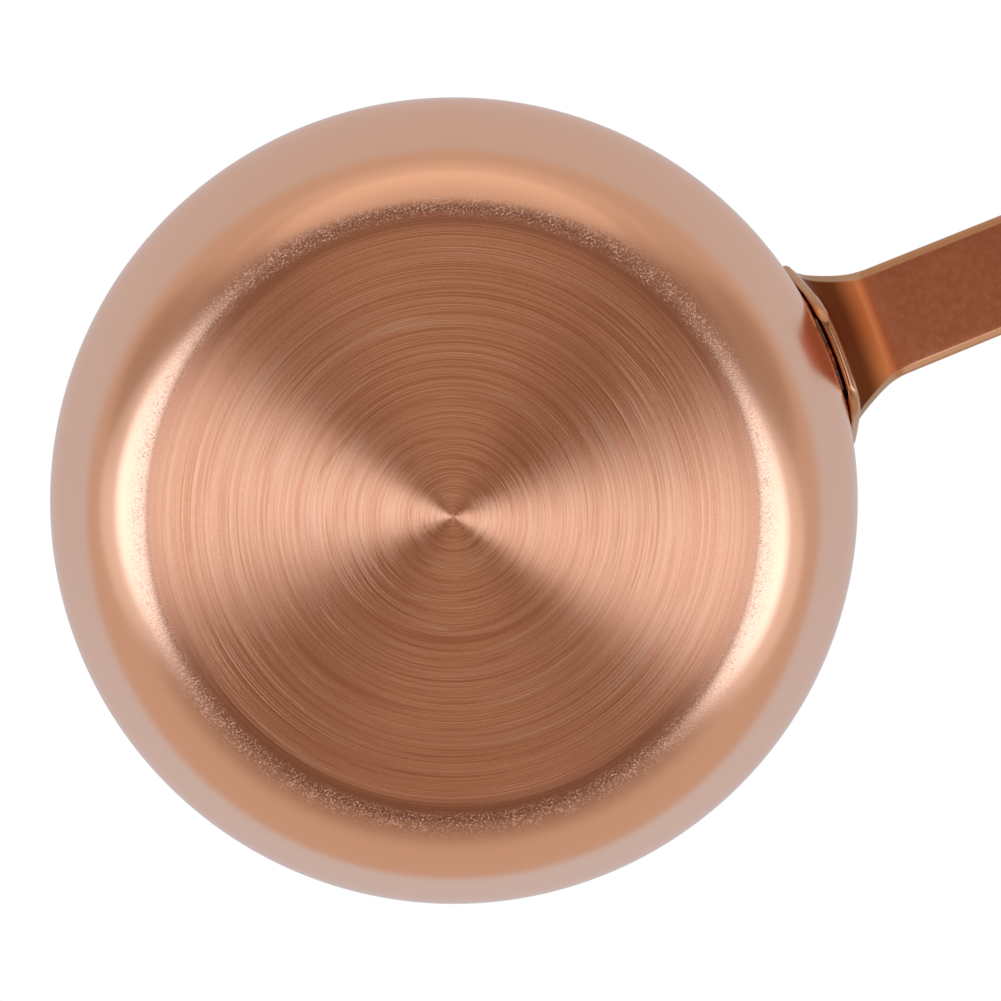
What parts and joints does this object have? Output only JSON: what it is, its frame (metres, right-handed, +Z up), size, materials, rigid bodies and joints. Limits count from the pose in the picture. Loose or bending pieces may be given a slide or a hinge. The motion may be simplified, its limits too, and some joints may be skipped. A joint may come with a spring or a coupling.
{
  "type": "saucepan",
  "caption": "Round copper saucepan with a flat turned base, rounded corner, steel-lined inside and a long riveted strap handle that rises to a hanging hole.",
  "frame": {"origin": "middle of the flat base, on the surface that the pan stands on", "axes": "+Z up out of the pan, +X along the handle away from the pan"},
  "size_m": [0.3034, 0.1424, 0.1012],
  "materials": {
    "shell": "turned copper base, satin copper wall",
    "lining": "brushed",
    "handle": "satin copper",
    "rivet": "satin copper"
  },
  "bodies": {
    "root": {"copper_shell": "shell", "steel_lining": "lining", "handle": "handle", "rivet_upper_left": "rivet", "rivet_upper_right": "rivet", "rivet_lower": "rivet"}
  },
  "joints": []
}
